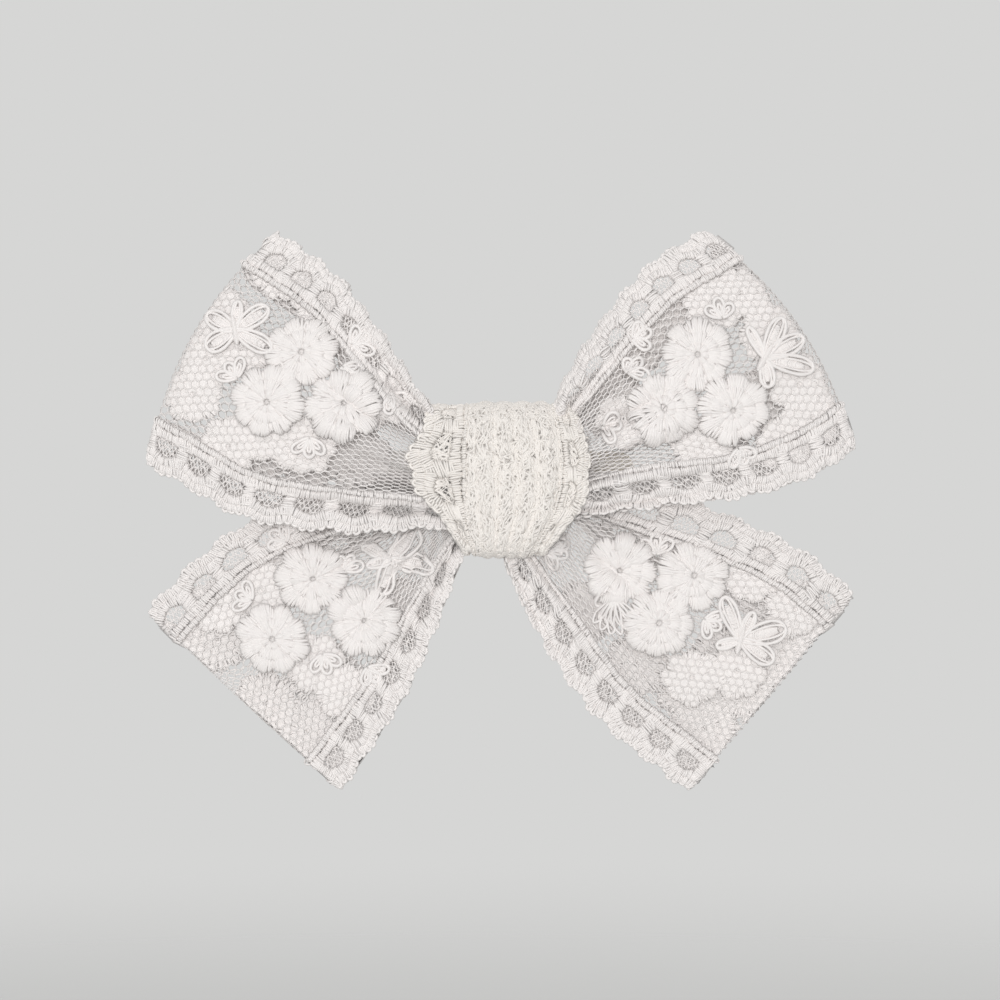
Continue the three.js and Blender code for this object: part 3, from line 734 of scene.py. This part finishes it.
for name, drawn in BUTTERFLIES.items():
    parts = padded_bar(name, drawn["middle"], drawn["body"], 4.2, 1.1, rng)
    for degrees, length, width in drawn["wings"]:
        parts += wing(name, drawn["middle"], degrees, length, width, rng)
    piece = add_piece(f"corded_butterfly_{name}", parts, thread_white)
    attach(piece, "bow")
    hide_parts(f"butterfly_{name}")
    embroidery[name].append(piece)

# Each spray of leaves: its place in x and z and the angle it points at.
LEAVES = {
    "left_loop": [
        (-22.6, 20.6, 20), (-23.8, 17.0, -60), (-29.0, 6.2, -100), (-17.0, 12.5, -50), (-40.0, 15.5, 120),
    ],
    "right_loop": [
        (20.0, 21.5, 10), (19.4, 16.0, 40), (33.5, 24.6, 95), (15.5, 8.5, -20), (36.0, 4.6, -70),
    ],
    "left_tail": [
        (-24.0, -14.0, 60), (-33.2, -9.5, 140), (-27.5, -27.0, -80), (-20.5, -29.0, -60),
        (-38.5, -18.5, 150),
    ],
    "right_tail": [
        (7.0, -9.2, 20), (7.2, -11.0, -20), (23.8, -11.5, 80), (31.5, -21.5, -40), (17.0, -16.8, -90),
    ],
}
for name, places_drawn in LEAVES.items():
    parts = []
    for x, z, degrees in places_drawn:
        for fan in (-42, 8, 55):
            u, v = teardrop(2.9 + rng.normal(0, 0.3), 1.7, 16)
            parts.append(cord_on(name, *turned(u, v, (x, z), degrees + fan), 0.3, 0.4))
            inner = turned(0.5 + 0.55 * u, 0.3 * v, (x, z), degrees + fan)
            parts.append(cord_on(name, *inner, 0.22, 0.35))
    leaves = add_piece(f"looped_leaves_{name}", parts, thread_white)
    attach(leaves, "bow")
    embroidery[name].append(leaves)

BELL = (17.2, -18.2)
bell_parts = padded_bar("right_tail", BELL, 0, 3.4, 1.9, rng, 0.6)
for degrees in (-128, -110, -93, -76, -58, -42):
    u, v = teardrop(5.4 + rng.normal(0, 0.25), 1.5)
    bell_parts.append(cord_on("right_tail", *turned(u, v, BELL, degrees), 0.2, 0.85))
    u, v = teardrop(3.8, 0.8)
    bell_parts.append(cord_on("right_tail", *turned(u + 0.3, v, BELL, degrees + 6), 0.17, 0.7))
bell = add_piece("looped_bell_flower", bell_parts, thread_white)
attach(bell, "bow")
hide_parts("bell_flower_right_tail")
embroidery["right_tail"].append(bell)


# ---- Knot -----------------------------------------------------------------------------------
# The knot is a length of the same trim wound once round the pinch and sewn shut behind. Its net
# and daisies are gathered to a third of their width, so its middle is almost solid thread.

KNOT_HALF_HEIGHT = 11.2
KNOT_HALF_DEPTH = 5.8
KNOT_ROUND = 62.0
KNOT_SIDE = -1

# Heights up the knot, each with the x of its left edge, left rib, right rib and right edge.
KNOT_EDGES = np.array([
    (-12.2, -5.2, -3.6, 3.6, 6.2),
    (-8.0, -7.6, -4.6, 6.2, 9.4),
    (-5.0, -10.2, -5.2, 8.0, 12.2),
    (-1.0, -13.6, -5.3, 9.0, 13.6),
    (3.0, -14.8, -5.3, 9.2, 13.6),
    (7.0, -12.8, -5.2, 8.8, 13.0),
    (10.0, -11.6, -5.1, 8.2, 11.6),
    (12.2, -11.2, -5.0, 7.6, 9.6),
]).T


def knot_surface(along, across):
    """The wound trim: along runs up the front from its foot and round behind, and across runs from
    left to right."""
    turn = along / KNOT_ROUND * 2 * np.pi - 0.5 * np.pi
    up, front = np.sin(turn), np.cos(turn)
    square = (np.abs(up) ** 3.2 + np.abs(front) ** 3.2) ** (-1 / 3.2)
    z = KNOT_HALF_HEIGHT * up * square
    left, left_rib, right_rib, right = [np.interp(z, KNOT_EDGES[0], edge) for edge in KNOT_EDGES[1:]]
    over_left = np.clip(across / BORDER, -0.3, 1)
    over_middle = np.clip((across - BORDER) / (TRIM_WIDTH - 2 * BORDER), 0, 1)
    over_right = np.clip((across - TRIM_WIDTH + BORDER) / BORDER, 0, 1.3)
    x = left + (left_rib - left) * over_left + (right_rib - left_rib) * over_middle
    x = x + (right - right_rib) * over_right
    middle = smoothstep(-0.02, 0.12, over_middle) * (1 - smoothstep(0.88, 1.02, over_middle))
    pleat = 0.32 * middle * np.cos(2 * np.pi * (over_middle * 4.6 + 0.12 * np.sin(turn * 2)))
    proud = -0.9 * (1 - middle) + pleat
    reach = 1 + proud / KNOT_HALF_DEPTH * np.abs(front * square) ** 0.5
    y = KNOT_Y - (KNOT_HALF_DEPTH + 0.2) * front * square * reach
    z = z * (1 + np.where(front > -0.6, 1, 0) * (proud + 0.5) / KNOT_HALF_HEIGHT * 0.5)
    return np.stack([x, y, z], axis=-1)


knot_rng = np.random.default_rng(11)
knot_parts = ladder_border(knot_surface, KNOT_SIDE, KNOT_ROUND, False, False, knot_rng)
knot_parts += ladder_border(knot_surface, KNOT_SIDE, KNOT_ROUND, True, True, knot_rng)
knot_parts.append(net_threads(knot_surface, KNOT_SIDE, KNOT_ROUND))

# Creamier than the lobes, since more layers of thread lie over each other.
cream_thread = thread_material("cream_embroidery_thread", "#ede8e3", "#f4efea")
knot = add_piece("gathered_knot", knot_parts, cream_thread)
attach(knot, "bow")
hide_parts("knot_wrap")

# Short stitches fill the knot: a lower bed nearly to its edges, and more between the ribs.
filling = []
for lift, margin, count in ((-0.3, 1.0, 6500), (0.05, BORDER, 8500)):
    along = knot_rng.uniform(-9, KNOT_ROUND * 0.75, count)[:, None]
    across = knot_rng.uniform(margin, TRIM_WIDTH - margin, count)[:, None]
    lean = knot_rng.normal(0, 0.6, (count, 1))
    half = knot_rng.uniform(0.4, 0.9, (count, 1))
    share = np.linspace(-1, 1, 4)[None]
    height = lift + knot_rng.uniform(0, 0.22, (count, 1)) + 0.16 * (1 - share**2)
    along = along + half * np.cos(lean) * share
    across = across + 2.2 * half * np.sin(lean) * share
    place, up = off_surface(knot_surface, along, across, height, KNOT_SIDE)
    filling.append(sweep(place, up, 0.2, 0.14))
knot_filling = add_piece("knot_embroidery", filling, cream_thread)
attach(knot_filling, "bow")


# ---- Gathering thread -----------------------------------------------------------------------
# Before the knot goes on, strong sewing thread is wound nine times round the pinched lobes and
# tied off. It stays hidden inside the knot.

WINDS = 9
WOUND_WIDTH = 2.2
PINCH_HALF_DEPTH = 3.9
PINCH_HALF_HEIGHT = 9.5
COTTON_RADIUS = 0.13

# Plain cotton, a little duller and yellower than the trim's thread.
cotton = thread_material("cotton_sewing_thread", "#e4e2dc", "#f1efe9")
t = np.linspace(0, WINDS * 2 * np.pi, WINDS * 40)
square = (np.abs(np.sin(t)) ** 4 + np.abs(np.cos(t)) ** 4) ** -0.25
x = -WOUND_WIDTH / 2 + WOUND_WIDTH * t / t[-1]
y = KNOT_Y - PINCH_HALF_DEPTH * np.cos(t) * square
z = PINCH_HALF_HEIGHT * np.sin(t) * square
wound = np.stack([x, y, z], axis=-1)
outward = np.stack([np.zeros_like(t), -np.cos(t), np.sin(t)], axis=-1)
windings = sweep(wound[None], outward[None], COTTON_RADIUS, COTTON_RADIUS, ROUND_6)
winding = add_piece("wound_thread", [windings], cotton)
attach(winding, "bow")
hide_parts("gathering_thread")


# ---- Felt backing ---------------------------------------------------------------------------
# A small oval of white wool felt, 0.8 mm thick, is glued between the knot and the clip. It has a
# soft die-cut rim with stray fibres.

FELT_MIDDLE, felt_half = box_mm("felt_patch")
FELT_HALF = felt_half[[0, 2]]
rings, spokes = 14, 96
front_share = np.concatenate([np.linspace(0, 0.94, rings), [0.98, 1.0]])
share = np.concatenate([front_share, [1.0, 0.98], np.linspace(0.94, 0, rings)])
thick = np.concatenate([np.full(rings, -0.38), [-0.34, -0.22], [0.22, 0.34], np.full(rings, 0.38)])
turn = np.arange(spokes) / spokes * 2 * np.pi
uneven = rng.normal(0, 0.02, (len(share), spokes))
x = FELT_MIDDLE[0] + FELT_HALF[0] * share[:, None] * np.cos(turn) + uneven
z = FELT_MIDDLE[2] + FELT_HALF[1] * share[:, None] * np.sin(turn) + uneven
y = FELT_MIDDLE[1] + thick[:, None] + uneven
places = np.stack([x, y, z], axis=-1)
corner = np.arange(len(share) * spokes).reshape(len(share), spokes)
here, beyond = corner[:-1], corner[1:]
walls = np.stack([here, beyond, np.roll(beyond, -1, 1), np.roll(here, -1, 1)], axis=-1)
felt_parts = [(places.reshape(-1, 3), walls.reshape(-1, 4))]
fibres = 700
fibre_radius = 0.018
turn = rng.uniform(0, 2 * np.pi, fibres)[:, None]
share = 0.99 + np.linspace(0, 1, 4)[None] * rng.uniform(0.02, 0.05, (fibres, 1))
drift = rng.normal(0, 0.03, (fibres, 1)) * np.linspace(0, 1, 4)[None]
y = FELT_MIDDLE[1] + rng.uniform(-0.3, 0.3, (fibres, 1)) + 4 * drift
x = FELT_MIDDLE[0] + FELT_HALF[0] * share * np.cos(turn + drift)
z = FELT_HALF[1] * share * np.sin(turn + drift)
paths = np.stack([x, y, z], axis=-1)
ups = np.broadcast_to([0.0, 1.0, 0.0], paths.shape)
felt_parts.append(sweep(paths, ups, fibre_radius, fibre_radius))

# Quite matt and slightly mottled, with a soft fuzz at its edges.
wool, tree = new_material("white_wool_felt")
spot = add_node(tree, "ShaderNodeTexCoord")
matted = add_node(tree, "ShaderNodeTexNoise", Vector=spot.outputs["Object"], Scale=1800.0, Detail=4.0)
shade = add_node(
    tree, "ShaderNodeMix", dict(data_type="RGBA"),
    Factor=matted.outputs["Fac"], i6=hex_colour("#dfddd6"), i7=hex_colour("#f3f1ec"),
)
relief = add_node(tree, "ShaderNodeBump", Strength=0.6, Distance=0.0002, Height=matted.outputs["Fac"])
wool_shader = add_node(
    tree, "ShaderNodeBsdfPrincipled", Base_Color=shade.outputs[2], Roughness=0.95,
    Sheen_Weight=0.4, Normal=relief.outputs[0],
)
add_node(tree, "ShaderNodeOutputMaterial", Surface=wool_shader.outputs[0])
felt = add_piece("wool_felt_oval", felt_parts, wool)
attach(felt, "bow")
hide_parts("felt_patch")


# ---- Grosgrain ribbon -----------------------------------------------------------------------
# White polyester grosgrain is glued round the upper arm, and a narrower strip lines the lower
# one. Its thick weft makes ribs across the ribbon, about three in two millimetres.

RIB = 0.7
RIB_DEPTH = 0.07

# The strip's section: flat, with a rounded selvedge that is a little thicker along both edges.
RIBBON_EDGE = np.array([
    (1.0, 0.3), (0.99, 0.75), (0.975, 1.0), (0.94, 0.94),
    (-0.94, 0.94), (-0.975, 1.0), (-0.99, 0.75), (-1.0, 0.3),
    (-1.0, -0.3), (-0.99, -0.75), (-0.975, -1.0), (-0.94, -0.94),
    (0.94, -0.94), (0.975, -1.0), (0.99, -0.75), (1.0, -0.3),
])


def ribbed_strip(line, half_width, thickness):
    """A strip of grosgrain along a line in x and y, with its width in z."""
    line = np.array(line, float)
    run = np.r_[0, np.cumsum(np.linalg.norm(np.diff(line, axis=0), axis=1))]
    stations = np.arange(0, run[-1], RIB / 8)
    x, y = np.interp(stations, run, line[:, 0]), np.interp(stations, run, line[:, 1])
    flat = np.zeros_like(x)
    ahead = np.gradient(np.stack([x, y, flat], axis=-1), axis=0)
    ups = np.stack([-ahead[:, 1], ahead[:, 0], flat], axis=-1)
    ups /= np.linalg.norm(ups, axis=1, keepdims=True)
    rib = np.abs(np.sin(np.pi * stations / RIB)) ** 0.7
    height = thickness / 2 - RIB_DEPTH + RIB_DEPTH * rib
    return sweep(np.stack([x, y, flat], axis=-1)[None], ups[None], half_width, height, RIBBON_EDGE)


bend = np.linspace(-0.5, -1.5, 17) * np.pi
tip_x, tip_y, tip_radius = -24.1, -1.33, 0.87
tip = [(tip_x + tip_radius * math.cos(a), tip_y + tip_radius * math.sin(a)) for a in bend]
ribbon_line = [(9.0, -2.2), *tip, (3.0, -0.46)]
liner_middle, liner_half = box_mm("lower_liner")
liner_line = [(liner_middle[0] + liner_half[0] * end, liner_middle[1]) for end in (1, -1)]

# White with a soft sheen, and a fine yarn grain drawn out along the ribs.
ribbed, tree = new_material("white_polyester_grosgrain")
spot = add_node(tree, "ShaderNodeTexCoord")
along_weft = add_node(
    tree, "ShaderNodeVectorMath", dict(operation="MULTIPLY"),
    i0=spot.outputs["Object"], i1=(1.0, 1.0, 0.12),
)
yarn = add_node(tree, "ShaderNodeTexNoise", Vector=along_weft.outputs[0], Scale=3000.0, Detail=3.0)
shade = add_node(
    tree, "ShaderNodeMix", dict(data_type="RGBA"),
    Factor=yarn.outputs["Fac"], i6=hex_colour("#e6e4df"), i7=hex_colour("#f8f6f2"),
)
relief = add_node(tree, "ShaderNodeBump", Strength=0.35, Distance=0.0001, Height=yarn.outputs["Fac"])
ribbed_shader = add_node(
    tree, "ShaderNodeBsdfPrincipled", Base_Color=shade.outputs[2], Roughness=0.42,
    Sheen_Weight=0.3, Sheen_Roughness=0.3, Normal=relief.outputs[0],
)
add_node(tree, "ShaderNodeOutputMaterial", Surface=ribbed_shader.outputs[0])
ribbon = add_piece("grosgrain_arm_ribbon", [ribbed_strip(ribbon_line, 4.6, 0.5)], ribbed)
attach(ribbon, "bow")
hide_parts("clip_ribbon")
liner = add_piece("grosgrain_jaw_liner", [ribbed_strip(liner_line, liner_half[2], 0.55)], ribbed)
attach(liner, "lower_jaw")
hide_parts("lower_liner")


# ---- Steel clip -----------------------------------------------------------------------------
# The arms and pin are stamped from thin steel strip, tumbled so that the edges are slightly
# rounded, and nickel plated: a warm grey, fairly bright metal with a faint grain.

# Bright warm metal whose polish varies a little in streaks along the arms.
nickel, tree = new_material("nickel_plated_steel")
spot = add_node(tree, "ShaderNodeTexCoord")
stretched = add_node(
    tree, "ShaderNodeVectorMath", dict(operation="MULTIPLY"),
    i0=spot.outputs["Object"], i1=(0.15, 1.0, 1.0),
)
grain = add_node(tree, "ShaderNodeTexNoise", Vector=stretched.outputs[0], Scale=2500.0, Detail=3.0)
polish = add_node(tree, "ShaderNodeMapRange", Value=grain.outputs["Fac"], To_Min=0.2, To_Max=0.36)
nickel_shader = add_node(
    tree, "ShaderNodeBsdfPrincipled", Base_Color=hex_colour("#cfc9be"),
    Metallic=1.0, Roughness=polish.outputs[0],
)
add_node(tree, "ShaderNodeOutputMaterial", Surface=nickel_shader.outputs[0])
for name in ("clip_upper_arm", "clip_lower_arm", "hinge_pin"):
    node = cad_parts[name]
    node.data.materials.clear()
    node.data.materials.append(nickel)
    edge = node.modifiers.new("tumbled_edge", "BEVEL")
    edge.width = 0.12 * MM
    edge.segments = 2
    edge.limit_method = "ANGLE"
    edge.angle_limit = math.radians(35)


# ---- Spring ---------------------------------------------------------------------------------
# Hard-drawn steel wire, 0.75 mm thick, is coiled five and a half turns round the pin. One leg
# presses on the upper arm's lever, and the other on the lower arm's.

PIN_PLACE = box_mm("hinge_pin")[0]
COIL_RADIUS = 1.6
WIRE_RADIUS = 0.37
COIL_TURNS = 5.5
COIL_HALF = 2.0

# Greyer than the plated arms, with a polish that varies in small spots.
spring_wire, tree = new_material("drawn_spring_steel")
spot = add_node(tree, "ShaderNodeTexCoord")
die_marks = add_node(tree, "ShaderNodeTexNoise", Vector=spot.outputs["Object"], Scale=1800.0, Detail=3.0)
polish = add_node(tree, "ShaderNodeMapRange", Value=die_marks.outputs["Fac"], To_Min=0.22, To_Max=0.4)
spring_shader = add_node(
    tree, "ShaderNodeBsdfPrincipled", Base_Color=hex_colour("#b9b6b0"),
    Metallic=1.0, Roughness=polish.outputs[0],
)
add_node(tree, "ShaderNodeOutputMaterial", Surface=spring_shader.outputs[0])
ROUND_12 = np.array([(math.cos(a), math.sin(a)) for a in np.arange(12) * math.pi / 6])


def straight_wire(start, end, z):
    """Places on a straight leg of wire with a rounded tip, the directions off it, and its radii."""
    share = np.linspace(0, 1, 24)[:, None]
    run = np.array([[end[0] - start[0], end[1] - start[1], 0.0]])
    places = np.array([[*start, z]]) + share * run
    radii = WIRE_RADIUS * np.sqrt(1 - np.clip((share[:, 0] - 0.96) / 0.042, 0, 1) ** 2)
    return places, np.tile([0.0, -1.0, 0.0], (len(places), 1)), radii


turn = np.linspace(-COIL_TURNS * 2 * np.pi, 0, 240)
x = PIN_PLACE[0] + COIL_RADIUS * np.sin(turn)
y = PIN_PLACE[1] - COIL_RADIUS * np.cos(turn)
z = COIL_HALF + 2 * COIL_HALF * turn / (COIL_TURNS * 2 * np.pi)
coil = np.stack([x, y, z], axis=-1)
off_coil = np.stack([np.sin(turn), -np.cos(turn), np.zeros_like(turn)], axis=-1)
leg, off_leg, leg_radii = straight_wire((8.3, -0.1), (17.0, -0.85), COIL_HALF)
path = np.concatenate([coil, leg])[None]
ups = np.concatenate([off_coil, off_leg])[None]
radii = np.concatenate([np.full(len(coil), WIRE_RADIUS), leg_radii])[None]
spring = add_piece("wire_coil_and_leg", [sweep(path, ups, radii, radii, ROUND_12)], spring_wire)
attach(spring, "bow")
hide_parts("spring_coil")

leg, off_leg, leg_radii = straight_wire((7.9, 3.1), (17.5, 4.35), -COIL_HALF)
leg_radii = leg_radii[None]
swept_leg = sweep(leg[None], off_leg[None], leg_radii, leg_radii, ROUND_12)
lower_leg = add_piece("wire_lower_leg", [swept_leg], spring_wire)
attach(lower_leg, "lower_jaw")
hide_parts("spring_lower_leg")
